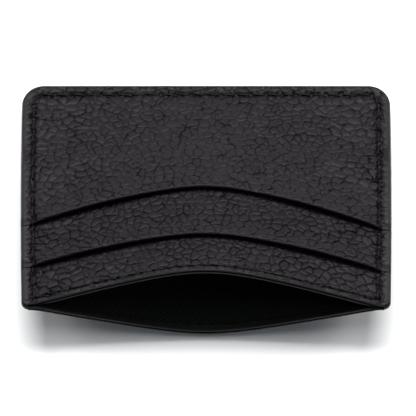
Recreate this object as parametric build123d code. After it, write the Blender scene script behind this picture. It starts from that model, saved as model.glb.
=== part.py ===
from build123d import *
import math
import os

# ---------------------------------------------------------------------------
# Sewn leather card holder: one central pocket between two walls, and two
# card slots on the outside of each wall.  It lies on its back, with the
# pocket open.  Millimetres.
#
# Sewing frame (used while building): x across, s from the closed end to the
# mouth, n out of the front wall.  The seam lies in the plane n = 0.  At the
# end everything is turned so that the holder rests on the floor, z = 0,
# with the closed end at +Y and the mouth at -Y.
# ---------------------------------------------------------------------------

# body
WIDTH = 99.6             # leather width; the painted edge adds PAINT on each side
HEIGHT = 70.0            # closed end to mouth
CORNER_R = 5.8           # closed end corners
MOUTH_CORNER_R = 2.6     # corners at the mouth
MARGIN = 3.1             # seam line to the edge
SEAM_X = WIDTH / 2 - MARGIN
PAINT = 0.22             # thickness of the painted edge round the body
EDGE_PAINT = 0.12        # thickness of the paint on the slot and mouth edges
FLAT = 0.10              # how much the resting edges are pressed flat

# opening of the pocket at the middle of the mouth
LIFT_FRONT = 11.8
LIFT_BACK = 12.2
CREST_FRONT = 0.316      # roundness of the crest, share of the half width
CREST_BACK = 0.265
NARROWING = 1.36         # each side draws in at the mouth as the walls bow

# mouth lines of the slots, measured from the closed end
SLOT_OUTER_END = 45.8    # at the sides
SLOT_OUTER_DIP = 8.4     # how far the wave cut rises at the middle
SLOT_MIDDLE_END = 58.5
SLOT_MIDDLE_DIP = 5.0
MOUTH_DIP_FRONT = 4.1
DIP_ROUND = 0.24
SKEW_OUTER = 0.77        # the slot lines are sewn a little off square
SKEW_MIDDLE = 0.72
SKEW_MOUTH = 0.3
STRIP_TOP = 27.0         # hidden upper edge of the middle slot's leather

# thicknesses
T_LINING = 0.15
T_STIFF = 0.20
T_LEATHER = 0.70
T_SLOT_LINING = 0.10
GLUE = 0.02              # glue line between layers
CARD_GAP = 0.05          # play in an empty card slot

O_LINING = 0.01
O_STIFF = O_LINING + T_LINING + GLUE
O_BASE = O_STIFF + T_STIFF + GLUE
O_BASE_TOP = O_BASE + T_LEATHER
O_MID_LINING = O_BASE_TOP + CARD_GAP
O_MID = O_MID_LINING + T_SLOT_LINING + GLUE
O_MID_TOP = O_MID + T_LEATHER
O_OUT_LOW = O_MID_LINING + T_SLOT_LINING + CARD_GAP      # above the middle lining only
O_OUT_HIGH = O_MID_TOP + CARD_GAP                        # above the middle leather
OUT_STACK = T_SLOT_LINING + GLUE + T_LEATHER

FACING_DEPTH = 3.2       # leather facing inside the mouth, butted to the lining
T_FACING = 0.20

# stitching
PERIM_PITCH = 4.08
PERIM_STITCH = 3.1
THREAD_R = 0.24
MOUTH_PITCH = 3.1
MOUTH_STITCH = 2.3
MOUTH_THREAD_R = 0.17
MOUTH_STITCH_IN = 1.75   # stitch line to the mouth edge


# ------------------------------------------------------------ wall surfaces
def smooth(v):
    v = min(max(v, 0.0), 1.0)
    return v * v * (3 - 2 * v)


def half_width(s):
    t = min(max(s / HEIGHT, 0.0), 1.05)
    return WIDTH / 2 - NARROWING * t * t


def crest(u, r):
    """1 in the middle, 0 at the seam, straight flanks and a round crest."""
    u = min(abs(u), 1.10)
    c = 1 - (math.sqrt(u * u + r * r) - r) / (math.sqrt(1 + r * r) - r)
    c = c - 0.004
    return 0.5 * (c + math.sqrt(c * c + 0.0006)) * 0.9999


def opening(s):
    """Growth of the pocket from the closed seam to the mouth."""
    t = (s - MARGIN) / (HEIGHT - MARGIN)
    return 0.5 * (t + math.sqrt(t * t + 0.0006))


def wall(x, s, front):
    u = x * (WIDTH / 2) / half_width(s) / SEAM_X
    if front:
        return LIFT_FRONT * opening(s) * crest(u, CREST_FRONT)
    return LIFT_BACK * opening(s) * crest(u, CREST_BACK)


def dip(x):
    u = min(abs(x) / SEAM_X, 1.06)
    r = DIP_ROUND
    return 1 - (math.sqrt(u * u + r * r) - r) / (math.sqrt(1 + r * r) - r)


def cut_outer(x):
    return SLOT_OUTER_END - SLOT_OUTER_DIP * dip(x) + SKEW_OUTER * x / 50


def cut_middle(x):
    return SLOT_MIDDLE_END - SLOT_MIDDLE_DIP * dip(x) + SKEW_MIDDLE * x / 50


def cut_mouth_front(x):
    return HEIGHT - MOUTH_DIP_FRONT * dip(x) + SKEW_MOUTH * x / 50 - 0.45


def cut_mouth_back(x):
    return HEIGHT - EDGE_PAINT


def gape(x, s, cut):
    """The slot edges stand away a little at their quarter points."""
    d = max(cut(x) - s, 0.0)
    return 0.7 * math.exp(-(((abs(x) - 28) / 12) ** 2)) * math.exp(-((d / 9) ** 2))


def off_middle(x, s, front):
    return gape(x, s, cut_middle) if front else 0.0


def off_outer(x, s, front):
    base = O_OUT_LOW + (O_OUT_HIGH - O_OUT_LOW) * smooth((s - STRIP_TOP + 7.5) / 7.0)
    extra = gape(x, s, cut_middle) + gape(x, s, cut_outer) if front else 0.0
    return base + extra


NX, NS = 53, 41
X_LO, X_HI, S_LO, S_HI = -51.5, 51.5, -1.5, 71.5


def surface(fn):
    rows = []
    for j in range(NS):
        s = S_LO + (S_HI - S_LO) * j / (NS - 1)
        row = []
        for i in range(NX):
            x = X_LO + (X_HI - X_LO) * i / (NX - 1)
            row.append(Vector(x, -s, fn(x, s)))
        rows.append(row)
    return Face.make_surface_from_array_of_points(rows, tol=2e-3, min_deg=3, max_deg=5)


def slab(fn, thickness):
    return Solid.extrude(surface(fn), Vector(0, 0, thickness))


def layer(front, offset, thickness, fn_extra=None):
    """Sheet that follows a wall, from offset to offset + thickness."""
    def f(x, s):
        extra = fn_extra(x, s, front) if fn_extra else 0.0
        n = wall(x, s, front) + offset + extra
        return n if front else -n
    return slab(f, thickness if front else -thickness)


# ------------------------------------------------------------ plan outlines
def curve(fn, x0=-54.0, x1=54.0, n=37, shift=0.0):
    if fn(x0) == fn(0.0) == fn(x1):
        return Line((x0, -(fn(x0) + shift)), (x1, -(fn(x1) + shift)))
    return Spline(*[(x0 + (x1 - x0) * i / (n - 1),
                     -(fn(x0 + (x1 - x0) * i / (n - 1)) + shift)) for i in range(n)])


def region(fn_lo, fn_hi, shift_lo=0.0, shift_hi=0.0):
    """Plan area between two lines across the holder (None is open)."""
    lo = curve(fn_lo, shift=shift_lo) if fn_lo else Line((-54, 6), (54, 6))
    hi = curve(fn_hi, shift=shift_hi)
    a = Line(lo @ 0, hi @ 0)
    b = Line(lo @ 1, hi @ 1)
    return make_face([lo, b, hi, a])


def outline(grow=0.0, closed_inset=0.0, mouth=HEIGHT, mouth_r=MOUTH_CORNER_R):
    """Plan outline of the whole holder, grown outwards by grow."""
    g = grow
    h0 = closed_inset - g
    m = mouth + g
    w = WIDTH / 2 + g

    def side(sign):
        return ThreePointArc((sign * w, -h0),
                             (sign * (half_width(HEIGHT / 2) + g), -HEIGHT / 2),
                             (sign * (half_width(mouth) + g), -m))
    left, right = side(-1), side(1)
    top = Line(left @ 0, right @ 0)
    bot = Line(left @ 1, right @ 1)
    f = make_face([top, right, bot, left])
    vs = f.vertices()
    top_v = [v for v in vs if v.Y > -HEIGHT / 2]
    bot_v = [v for v in vs if v.Y <= -HEIGHT / 2]
    f = fillet(top_v, max(CORNER_R + g, 0.4))
    bot_v = [v for v in f.vertices() if v.Y < -m + 0.05 and abs(v.X) > 40]
    if mouth_r + g > 0.2:
        f = fillet(bot_v, mouth_r + g)
    return f


def one_face(sk):
    fs = sk.faces()
    assert len(fs) == 1, len(fs)
    return fs[0]


def prism(face):
    return Solid.extrude(one_face(face), Vector(0, 0, 90)).moved(Location((0, 0, -45)))


def solids_of(shape):
    if shape is None:
        return []
    if isinstance(shape, (list, ShapeList)):
        out = []
        for s in shape:
            out += s.solids()
        return out
    return shape.solids()


def trim(sheet, *prisms):
    """Cut a sheet to the plan area that all the prisms share."""
    tool = prisms[0]
    for p in prisms[1:]:
        tool = tool & p
    out = solids_of(sheet & tool)
    if not out:
        out = [sheet]
        for p in reversed(prisms):
            out = [t for o in out for t in solids_of(o & p)]
    out = [t for t in out if t.volume > 1e-4]
    assert out, "empty trim"
    return out


PARTS = {}


def put(name, solids):
    solids = list(solids)
    assert solids, name
    PARTS[name] = solids
    print(name, len(solids), round(sum(s.volume for s in solids), 3))


OUT = outline()
P_OUT = prism(OUT)
P_BAND = prism(outline(PAINT)) - P_OUT
P_STIFF = prism(outline(-3.6))          # clear of the seam line
CUTS = {"front": cut_mouth_front, "back": cut_mouth_back}

for side in ("front", "back"):
    front = side == "front"
    cut_mouth = CUTS[side]
    r_mouth = prism(region(None, cut_mouth))
    r_outer = prism(region(None, cut_outer))
    r_strip = prism(region(lambda x: STRIP_TOP, cut_middle))
    r_middle = prism(region(None, cut_middle))

    # central pocket: lining, leather facing inside the mouth, stiffener, leather
    put(f"{side}_pocket_lining",
        trim(layer(front, O_LINING, T_LINING), P_OUT,
             prism(region(None, cut_mouth, shift_hi=-FACING_DEPTH - 0.02))))
    put(f"{side}_mouth_facing",
        trim(layer(front, O_LINING, T_FACING), P_OUT,
             prism(region(cut_mouth, cut_mouth, -FACING_DEPTH, 0.0))))
    put(f"{side}_stiffener",
        trim(layer(front, O_STIFF, T_STIFF), P_STIFF,
             prism(region(None, cut_mouth, shift_hi=-5.8))))
    put(f"{side}_base_leather", trim(layer(front, O_BASE, T_LEATHER), P_OUT, r_mouth))

    # slot panels, each with its own thin lining
    put(f"{side}_middle_slot_lining",
        trim(layer(front, O_MID_LINING, T_SLOT_LINING, off_middle), P_OUT, r_middle))
    put(f"{side}_middle_slot_leather",
        trim(layer(front, O_MID, T_LEATHER, off_middle), P_OUT, r_strip))
    put(f"{side}_outer_slot_lining",
        trim(layer(front, 0.0, T_SLOT_LINING, off_outer), P_OUT, r_outer))
    put(f"{side}_outer_slot_leather",
        trim(layer(front, T_SLOT_LINING + GLUE, T_LEATHER, off_outer), P_OUT, r_outer))

    # painted mouth edges
    for nm, cut, off, thick, extra in (
            ("middle_slot_edge_paint", cut_middle, O_MID_LINING, O_MID_TOP - O_MID_LINING, off_middle),
            ("outer_slot_edge_paint", cut_outer, 0.0, OUT_STACK, off_outer),
            ("mouth_edge_paint", cut_mouth, O_LINING, O_BASE_TOP - O_LINING, None)):
        strip = prism(region(cut, cut, 0.0, EDGE_PAINT))
        put(f"{side}_{nm}", trim(layer(front, off, thick, extra), P_OUT, strip))


# ------------------------------------------- painted edge round the three sides
def straight(v):
    return lambda x: v


bead = []
zones = (("outer", None, cut_outer, OUT_STACK, off_outer),
         ("middle", cut_outer, cut_middle, O_MID_TOP, off_middle),
         ("mouth", cut_middle, straight(HEIGHT - 1.6), O_BASE_TOP, None))
for zone, lo, hi, top, extra in zones:
    zone_prism = prism(region(lo, hi))
    deep = {"outer": 3.05, "middle": 2.2, "mouth": 1.35}[zone]
    fronts = trim(layer(True, top - deep, deep, extra), P_BAND, zone_prism)
    backs = trim(layer(False, top - deep, deep, extra), P_BAND, zone_prism)
    fused = fronts[0].fuse(*(fronts[1:] + backs))
    bead += [t for t in solids_of(fused) if t.volume > 1e-4]
put("perimeter_edge_paint", bead)


# ----------------------------------------------------------------- stitching
def outer_top(x, s, front):
    n = wall(x, s, front)
    if s <= cut_outer(x) + EDGE_PAINT:
        return n + off_outer(x, s, front) + OUT_STACK
    if s <= cut_middle(x) + EDGE_PAINT:
        return n + off_middle(x, s, front) + O_MID_TOP
    return n + O_BASE_TOP


def perimeter_path(length):
    """Point at a distance along the seam, from the left mouth corner."""
    run = HEIGHT - MARGIN - (CORNER_R - MARGIN) - 2.0
    rc = CORNER_R - MARGIN
    arc = math.pi / 2 * rc
    across = 2 * (SEAM_X - rc)

    def x_seam(s):
        return half_width(s) - MARGIN
    if length > run + arc + across / 2:
        total = 2 * (run + arc) + across
        x, s = perimeter_path(total - length)
        return -x, s
    if length <= run:
        s = HEIGHT - 2.0 - length
        return -x_seam(s), s
    if length <= run + arc:
        a = (length - run) / rc
        return -SEAM_X + rc * (1 - math.cos(a)), MARGIN + rc - rc * math.sin(a)
    return -SEAM_X + rc + (length - run - arc), MARGIN


def bar(p, q, r):
    """Round thread from p to q with domed ends."""
    d = q - p
    body = Solid.make_cylinder(r, d.length, Plane(origin=p, z_dir=d))
    return body


RUN_TOTAL = 2 * (HEIGHT - MARGIN - (CORNER_R - MARGIN) - 2.0) \
    + math.pi * (CORNER_R - MARGIN) + 2 * (SEAM_X - (CORNER_R - MARGIN))
N_PERIM = int(round(RUN_TOTAL / PERIM_PITCH))
for name, front in (("perimeter_top_thread", True), ("perimeter_bobbin_thread", False)):
    sg = 1 if front else -1
    thread = []
    for k in range(N_PERIM):
        pitch = RUN_TOTAL / N_PERIM
        a = k * pitch + (pitch - PERIM_STITCH) / 2
        pts = []
        for m in range(5):
            x, s = perimeter_path(a + PERIM_STITCH * m / 4)
            pts.append((x, s, outer_top(x, s, front)))
        # lie on the highest leather under the stitch
        n0, n1 = pts[0][2], pts[-1][2]
        lift = max(p[2] - (n0 + (n1 - n0) * m / 4) for m, p in enumerate(pts))
        side_lift = 0.10
        h = THREAD_R + 0.03 + lift + side_lift
        thread.append(bar(Vector(pts[0][0], -pts[0][1], sg * (n0 + h)),
                          Vector(pts[-1][0], -pts[-1][1], sg * (n1 + h)), THREAD_R))
    put(name, thread)

for side in ("front", "back"):
    front = side == "front"
    sg = 1 if front else -1
    cut = CUTS[side]
    n_st = int((2 * SEAM_X - 3.0) / MOUTH_PITCH)
    thread = []
    for k in range(n_st):
        xc = (k - (n_st - 1) / 2) * MOUTH_PITCH
        for face, off in (("out", O_BASE_TOP + MOUTH_THREAD_R + 0.03), ("in", O_LINING - MOUTH_THREAD_R - 0.03)):
            shift = 0.0 if face == "out" else MOUTH_PITCH / 2
            xa = xc + shift - MOUTH_STITCH / 2
            xb = xa + MOUTH_STITCH
            if face == "in" and xb > SEAM_X - 2.5:
                continue
            pts = [(xa + (xb - xa) * m / 4) for m in range(5)]
            ss = [cut(x) - MOUTH_STITCH_IN for x in pts]
            nn = [wall(x, s, front) for x, s in zip(pts, ss)]
            bow = [nn[m] - (nn[0] + (nn[-1] - nn[0]) * m / 4) for m in range(5)]
            d = max(bow) if face == "out" else min(bow)
            side_d = 0.02 if face == "out" else -0.02
            z = off + d + side_d
            thread.append(bar(Vector(xa, -ss[0], sg * (nn[0] + z)),
                              Vector(xb, -ss[-1], sg * (nn[-1] + z)), MOUTH_THREAD_R))
    put(f"{side}_mouth_stitching", thread)

# ------------------------------------------------ set down on the floor, z = 0
def profile(s):
    return -outer_top(0.0, s, False)


best = None
samples = [0.3 + 0.1 * i for i in range(int((HEIGHT - 0.3) / 0.1))]
for a in samples:
    if a > 12:
        break
    # steepest line through the closed end part that stays under the profile
    slope = min((profile(b) - profile(a)) / (b - a) for b in samples if b > a + 5)
    ok = all(profile(c) >= profile(a) + slope * (c - a) - 1e-6 for c in samples)
    if ok:
        best = slope
        break
TILT = math.degrees(math.atan(-best))
print("tilt", round(TILT, 3))
turn = Location((0, 0, 0), (-TILT, 0, 0))
placed = {k: [v.moved(turn) for v in vs] for k, vs in PARTS.items()}


def span(solids):
    boxes = [v.bounding_box(optimal=True) for v in solids]
    return (min(b.min.X for b in boxes), max(b.max.X for b in boxes),
            min(b.min.Y for b in boxes), max(b.max.Y for b in boxes),
            min(b.min.Z for b in boxes), max(b.max.Z for b in boxes))


leather = [v for k in ("back_outer_slot_leather", "back_base_leather",
                       "back_middle_slot_leather") for v in placed[k]]
floor_z = span(leather)[4] + FLAT
every = [v for vs in placed.values() for v in vs]
x0, x1, y0, y1, _, _ = span(every)
shift = Location((-(x0 + x1) / 2, -(y0 + y1) / 2, -floor_z))
cutter = Solid.make_box(300, 300, 20).moved(Location((-150, -150, -20)))
final = {}
for k, vs in placed.items():
    out = []
    for v in vs:
        w = v.moved(shift)
        if w.bounding_box(optimal=True).min.Z < -1e-6:
            out += [p for p in solids_of(w - cutter) if p.volume > 1e-4]
        else:
            out.append(w)
    final[k] = out
every = [v for vs in final.values() for v in vs]
print("box", [round(v, 3) for v in span(every)])
print("shift", (x0 + x1) / 2, (y0 + y1) / 2, floor_z)

os.makedirs("parts", exist_ok=True)
for name, sol in final.items():
    export_step(Compound(children=sol) if len(sol) > 1 else sol[0], f"parts/{name}.step")
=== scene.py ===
import math

import bpy
import numpy as np
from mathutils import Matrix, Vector

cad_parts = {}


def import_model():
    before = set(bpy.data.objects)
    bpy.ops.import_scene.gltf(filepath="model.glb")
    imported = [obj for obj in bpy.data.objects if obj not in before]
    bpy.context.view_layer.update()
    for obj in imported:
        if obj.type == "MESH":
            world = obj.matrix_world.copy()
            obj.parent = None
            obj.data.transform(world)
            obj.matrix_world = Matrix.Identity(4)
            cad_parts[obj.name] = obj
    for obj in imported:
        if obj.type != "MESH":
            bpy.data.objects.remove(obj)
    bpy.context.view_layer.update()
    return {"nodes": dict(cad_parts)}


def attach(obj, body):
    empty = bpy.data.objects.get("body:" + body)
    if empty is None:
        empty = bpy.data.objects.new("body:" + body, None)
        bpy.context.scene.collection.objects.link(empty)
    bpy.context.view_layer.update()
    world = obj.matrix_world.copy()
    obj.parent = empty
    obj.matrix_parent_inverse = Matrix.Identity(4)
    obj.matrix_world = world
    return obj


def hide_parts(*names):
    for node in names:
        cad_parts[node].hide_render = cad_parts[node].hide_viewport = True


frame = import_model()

# ---------------------------------------------------------------------------
# The holder's own sewing frame, millimetres: x across, s from the closed end
# to the mouth, n out of the front wall.  Same numbers as the CAD model.
# ---------------------------------------------------------------------------
WIDTH, HEIGHT = 99.6, 70.0
CORNER_R, MOUTH_CORNER_R, MARGIN = 5.8, 2.6, 3.1
SEAM_X = WIDTH / 2 - MARGIN
PAINT = 0.22
LIFT_FRONT, LIFT_BACK = 11.8, 12.2
CREST_FRONT, CREST_BACK = 0.316, 0.265
NARROWING = 1.36
SLOT_OUTER_END, SLOT_OUTER_DIP = 45.8, 8.4
SLOT_MIDDLE_END, SLOT_MIDDLE_DIP = 58.5, 5.0
MOUTH_DIP_FRONT, DIP_ROUND = 4.1, 0.24
SKEW_OUTER, SKEW_MIDDLE, SKEW_MOUTH = 0.77, 0.72, 0.3
STRIP_TOP = 27.0
T_LINING, T_STIFF, T_LEATHER, T_SLOT_LINING = 0.15, 0.20, 0.70, 0.10
GLUE, CARD_GAP = 0.02, 0.05
O_LINING = 0.01
O_STIFF = O_LINING + T_LINING + GLUE
O_BASE = O_STIFF + T_STIFF + GLUE
O_BASE_TOP = O_BASE + T_LEATHER
O_MID_LINING = O_BASE_TOP + CARD_GAP
O_MID = O_MID_LINING + T_SLOT_LINING + GLUE
O_MID_TOP = O_MID + T_LEATHER
O_OUT_LOW = O_MID_LINING + T_SLOT_LINING + CARD_GAP
O_OUT_HIGH = O_MID_TOP + CARD_GAP
OUT_STACK = T_SLOT_LINING + GLUE + T_LEATHER
MOUTH_STITCH_IN = 1.75
TILT = math.radians(10.668)
SHIFT_Y, SHIFT_Z = 35.31775, 1.98462
NOSE = 0.95            # depth of the rounded painted rim
LIP = 0.62             # the slot panels thicken a little at their mouths
FACING_SHOW = 2.2      # leather facing seen inside the mouth


def smooth(v):
    v = np.clip(v, 0.0, 1.0)
    return v * v * (3 - 2 * v)


def half_width(s):
    t = np.clip(s / HEIGHT, 0.0, 1.05)
    return WIDTH / 2 - NARROWING * t * t


def crest(u, r):
    u = np.minimum(np.abs(u), 1.10)
    c = 1 - (np.sqrt(u * u + r * r) - r) / (math.sqrt(1 + r * r) - r)
    c = c - 0.004
    return 0.5 * (c + np.sqrt(c * c + 0.0006)) * 0.9999


def opening(s):
    t = (s - MARGIN) / (HEIGHT - MARGIN)
    return 0.5 * (t + np.sqrt(t * t + 0.0006))


def wall(x, s, front):
    u = x * (WIDTH / 2) / half_width(s) / SEAM_X
    if front:
        return LIFT_FRONT * opening(s) * crest(u, CREST_FRONT)
    return LIFT_BACK * opening(s) * crest(u, CREST_BACK)


def dip(x):
    u = np.minimum(np.abs(x) / SEAM_X, 1.06)
    r = DIP_ROUND
    return 1 - (np.sqrt(u * u + r * r) - r) / (math.sqrt(1 + r * r) - r)


def cut_outer(x):
    return SLOT_OUTER_END - SLOT_OUTER_DIP * dip(x) + SKEW_OUTER * x / 50


def cut_middle(x):
    return SLOT_MIDDLE_END - SLOT_MIDDLE_DIP * dip(x) + SKEW_MIDDLE * x / 50


def cut_mouth_front(x):
    return HEIGHT - MOUTH_DIP_FRONT * dip(x) + SKEW_MOUTH * x / 50 - 0.45


def cut_mouth_back(x):
    return HEIGHT - 0.12 + 0 * x


CUT = {True: cut_mouth_front, False: cut_mouth_back}


def gape(x, s, cut):
    d = np.maximum(cut(x) - s, 0.0)
    return 0.7 * np.exp(-(((np.abs(x) - 28) / 12) ** 2)) * np.exp(-((d / 9) ** 2))


def off_middle(x, s, front):
    return gape(x, s, cut_middle) if front else 0.0 * x


def off_outer(x, s, front):
    base = O_OUT_LOW + (O_OUT_HIGH - O_OUT_LOW) * smooth((s - STRIP_TOP + 7.5) / 7.0)
    if front:
        base = base + gape(x, s, cut_middle) + gape(x, s, cut_outer)
    return base


def world(x, s, n):
    """Sewing frame (mm) to the row frame (m)."""
    y = -s * math.cos(TILT) + n * math.sin(TILT) + SHIFT_Y
    z = s * math.sin(TILT) + n * math.cos(TILT) + SHIFT_Z
    z = np.maximum(z, 0.0)
    return np.stack([x, y, z], -1) * 0.001


# ------------------------------------------------------- outline and margins
RC = CORNER_R + PAINT
RM = 1.55 + PAINT


def inset(x, s):
    """Distance inwards from the painted outline of the holder."""
    w = half_width(s) + PAINT
    ax = np.abs(x)
    side = w - ax
    end = s + PAINT
    q = np.minimum(side, end)
    px, ps = ax - (w - RC), RC - end
    q = np.where((px > 0) & (ps > 0), RC - np.hypot(px, ps), q)
    pm, pmx = s - (HEIGHT - RM), ax - (w - RM)
    q = np.where((pmx > 0) & (pm > 0), RM - np.hypot(pmx, pm), q)
    return q


def row_half(s, q):
    """Half width of the plan at s, drawn in by q from the outline."""
    w = half_width(s) + PAINT
    e = s + PAINT
    a = np.sqrt(np.maximum((RC - q) ** 2 - np.maximum(RC - e, 0) ** 2, 0.0)) - (RC - q)
    m = np.sqrt(np.maximum((RM - q) ** 2 - np.maximum(s - (HEIGHT - RM), 0) ** 2, 0.0)) - (RM - q)
    return w - q + a + m


def pressed(q):
    """1 in the margin outside the seam, 0 inside it."""
    return 1 - smooth((q - PAINT - MARGIN + 1.3) / 1.2)


def step_ramp(q, d, step, length=2.6):
    """Panels are skived towards their mouths in the margin."""
    return pressed(q) * (step - 0.10) * (1 - smooth(np.clip(d, 0, None) / length))


def nose_drop(q, half):
    t = np.clip(1 - q / NOSE, 0.0, 0.995)
    return half * (1 - (1 - t ** 2.5) ** 0.4)


# ----------------------------------------------------------- leather's grain
def lattice(seed, n=512):
    rng = np.random.default_rng(seed)
    return rng.random((n, n)), rng.random((n, n)), rng.random((n, n)), rng.random((n, n))


def value_noise(x, y, seed, scale):
    a = np.random.default_rng(seed).random((128, 128)) * 2 - 1
    u, v = x / scale + 31.7, y / scale + 17.3
    i, j = np.floor(u).astype(int), np.floor(v).astype(int)
    fu, fv = smooth(u - i), smooth(v - j)
    g = lambda p, r: a[p % 128, r % 128]
    return (g(i, j) * (1 - fu) * (1 - fv) + g(i + 1, j) * fu * (1 - fv)
            + g(i, j + 1) * (1 - fu) * fv + g(i + 1, j + 1) * fu * fv)


def cells(x, y, size, seed, jitter=0.86):
    """Voronoi cells: distance to the crease, and each cell's own numbers."""
    jx, jy, ra, rb = lattice(seed)
    u, v = x / size + 200.0, y / size + 200.0
    i, j = np.floor(u).astype(int), np.floor(v).astype(int)
    best = np.full(x.shape, 1e9)
    second = np.full(x.shape, 1e9)
    bx = np.zeros(x.shape); by = np.zeros(x.shape)
    sx = np.zeros(x.shape); sy = np.zeros(x.shape)
    ca = np.zeros(x.shape); cb = np.zeros(x.shape)
    for di in (-2, -1, 0, 1, 2):
        for dj in (-2, -1, 0, 1, 2):
            p, r = (i + di) % 512, (j + dj) % 512
            cx = i + di + 0.5 + (jx[p, r] - 0.5) * jitter + 0.5 * ((j + dj) % 2)
            cy = j + dj + 0.5 + (jy[p, r] - 0.5) * jitter
            d = (u - cx) ** 2 + (v - cy) ** 2
            near = d < best
            mid = (~near) & (d < second)
            second = np.where(near, best, np.where(mid, d, second))
            sx = np.where(near, bx, np.where(mid, cx, sx))
            sy = np.where(near, by, np.where(mid, cy, sy))
            bx = np.where(near, cx, bx); by = np.where(near, cy, by)
            ca = np.where(near, ra[p, r], ca); cb = np.where(near, rb[p, r], cb)
            best = np.where(near, d, best)
    gap = np.maximum(np.hypot(sx - bx, sy - by), 1e-6)
    edge = (second - best) / (2 * gap) * size
    return edge, ca, cb, (u - bx) * size, (v - by) * size


def grain(x, s, seed):
    """Height (mm, about -0.12 to 0.03) and crease strength (0 to 1)."""
    ax = np.abs(x)
    over = np.maximum(ax - 33.0, 0.0)
    gx = np.sign(x) * (np.minimum(ax, 33.0) + over * 0.86)
    gx = gx / 1.08
    wx = gx + 0.55 * value_noise(x, s, seed + 1, 2.6) + 0.24 * value_noise(x, s, seed + 2, 0.85)
    wy = s + 0.50 * value_noise(x, s, seed + 3, 2.4) + 0.22 * value_noise(x, s, seed + 4, 0.75)
    e1, a, b, dx, dy = cells(wx, wy, 2.12, seed)
    e2, _, _, _, _ = cells(wx + 50.3, wy + 20.1, 1.12, seed + 7)
    depth = 0.62 + 0.38 * value_noise(x, s, seed + 5, 4.5) + 0.22 * value_noise(x, s, seed + 6, 1.6)
    depth = np.clip(depth, 0.38, 1.0)
    fine = np.clip(value_noise(x, s, seed + 8, 2.6) * 1.4 + 0.08, 0.0, 0.85)
    strong = np.clip(0.82 + 0.28 * value_noise(x, s, seed + 5, 4.5)
                     + 0.40 * value_noise(x, s, seed + 12, 1.5), 0.38, 1.0)
    line1 = np.exp(-(e1 / (0.076 + 0.046 * strong)) ** 2) * strong
    line2 = np.exp(-(e2 / 0.090) ** 2) * fine * 0.65
    # a few long folds, running mostly across near the side seams
    near_side = smooth((np.abs(x) - 24.0) / 16.0)
    f1 = value_noise(x * 0.42, s, seed + 21, 3.4) + 0.25 * value_noise(x, s, seed + 22, 1.1)
    fold = np.exp(-(f1 / 0.045) ** 2) * np.clip(value_noise(x, s, seed + 23, 4.0) * 2.2, 0, 1)
    fold = fold * (0.05 + 0.95 * near_side)
    dome = -0.265 * np.exp(-e1 / 0.34) * (0.50 + 0.50 * depth)
    tilt = (a - 0.5) * 0.150 * dx + ((b - 0.5) * 0.160 + 0.065) * dy
    h = -0.185 * line1 - 0.105 * line2 - 0.10 * fold + dome + tilt + 0.03 * (a - 0.5)
    h = h + 0.018 * value_noise(x, s, seed + 9, 7.0) + 0.026 * value_noise(x, s, seed + 10, 0.66)
    # The crease strength is later laid into the colour as painted shade.
    crease = np.clip(1.32 * line1 + 0.90 * line2 + 0.8 * fold, 0, 0.94)
    return h, crease


def long_fold(x, s):
    """One long curved crease that leaves the seam near a closed corner."""
    t = np.clip((x + 46.0) / 6.2, 0.0, 1.0)
    line = 10.6 + 1.25 * np.sqrt(t) - 0.25 * t
    reach = smooth((x + 46.6) / 0.8) * (1 - smooth((x + 40.6) / 1.6))
    return np.exp(-((s - line) / 0.17) ** 2) * reach


# ---------------------------------------------------------------- stitches
RUN = HEIGHT - MARGIN - (CORNER_R - MARGIN) - 2.0
R_ARC = CORNER_R - MARGIN
ACROSS = 2 * (SEAM_X - R_ARC)
TOTAL = 2 * RUN + math.pi * R_ARC + ACROSS
N_PERIM = int(round(TOTAL / 4.08))


def seam_point(length):
    if length > TOTAL / 2:
        x, s, tx, ts = seam_point(TOTAL - length)
        return -x, s, tx, -ts
    if length <= RUN:
        s = HEIGHT - 2.0 - length
        return -(float(half_width(s)) - MARGIN), s, 0.0, -1.0
    if length <= RUN + math.pi / 2 * R_ARC:
        a = (length - RUN) / R_ARC
        return (-SEAM_X + R_ARC * (1 - math.cos(a)), MARGIN + R_ARC - R_ARC * math.sin(a),
                math.sin(a), -math.cos(a))
    return -SEAM_X + R_ARC + (length - RUN - math.pi / 2 * R_ARC), MARGIN, 1.0, 0.0


HOLES = np.array([seam_point(k * TOTAL / N_PERIM)[:2] for k in range(N_PERIM + 1)])


def near_points(x, s, pts, reach):
    """Gaussian dimples at pts."""
    out = np.zeros(x.shape)
    for px, ps in pts:
        m = (np.abs(x - px) < 3 * reach) & (np.abs(s - ps) < 3 * reach)
        if m.any():
            out[m] = np.maximum(out[m], np.exp(-((x[m] - px) ** 2 + (s[m] - ps) ** 2) / reach ** 2))
    return out


def seam_relief(x, s, q, seed):
    """The seam is drawn down into the leather, deeper at each needle hole."""
    m = q - PAINT - MARGIN
    wob = 0.36 * value_noise(x, s, seed + 40, 1.3) + 0.30 * value_noise(x, s, seed + 42, 0.5)
    line = np.exp(-((m + wob) / 0.66) ** 2)
    holes = near_points(x, s, HOLES, 0.58)
    # short wrinkles running away from the thread on both sides
    side = smooth((np.abs(x) - SEAM_X + 3.0) / 1.5)
    run = side * (s + 0.35 * m) + (1 - side) * (x + 0.5 * m)
    cross = side * x + (1 - side) * s
    w1 = value_noise(run * 1.0, cross * 0.30, seed + 41, 0.62)
    w2 = value_noise(run * 1.0, cross * 0.45, seed + 43, 0.36)
    tick = np.exp(-((w1 - 0.05) / 0.17) ** 2) * np.exp(-(m / 1.05) ** 2)
    pucker = np.exp(-(m / 1.0) ** 2) * (w1 + 0.5 * w2)
    h = -0.34 * line - 0.30 * holes + 0.20 * pucker - 0.20 * tick
    # Painted shade in the seam's groove, needle holes and wrinkle ticks.
    painted_shade = np.clip(0.92 * line + 1.05 * holes + 1.05 * tick, 0, 1.15)
    return h, painted_shade


def mouth_holes(front):
    n_st = int((2 * SEAM_X - 3.0) / 3.1)
    pts = []
    for k in range(n_st + 1):
        x = (k - n_st / 2) * 3.1
        pts.append((x, float(CUT[front](np.array(x))) - MOUTH_STITCH_IN))
    return pts


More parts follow.
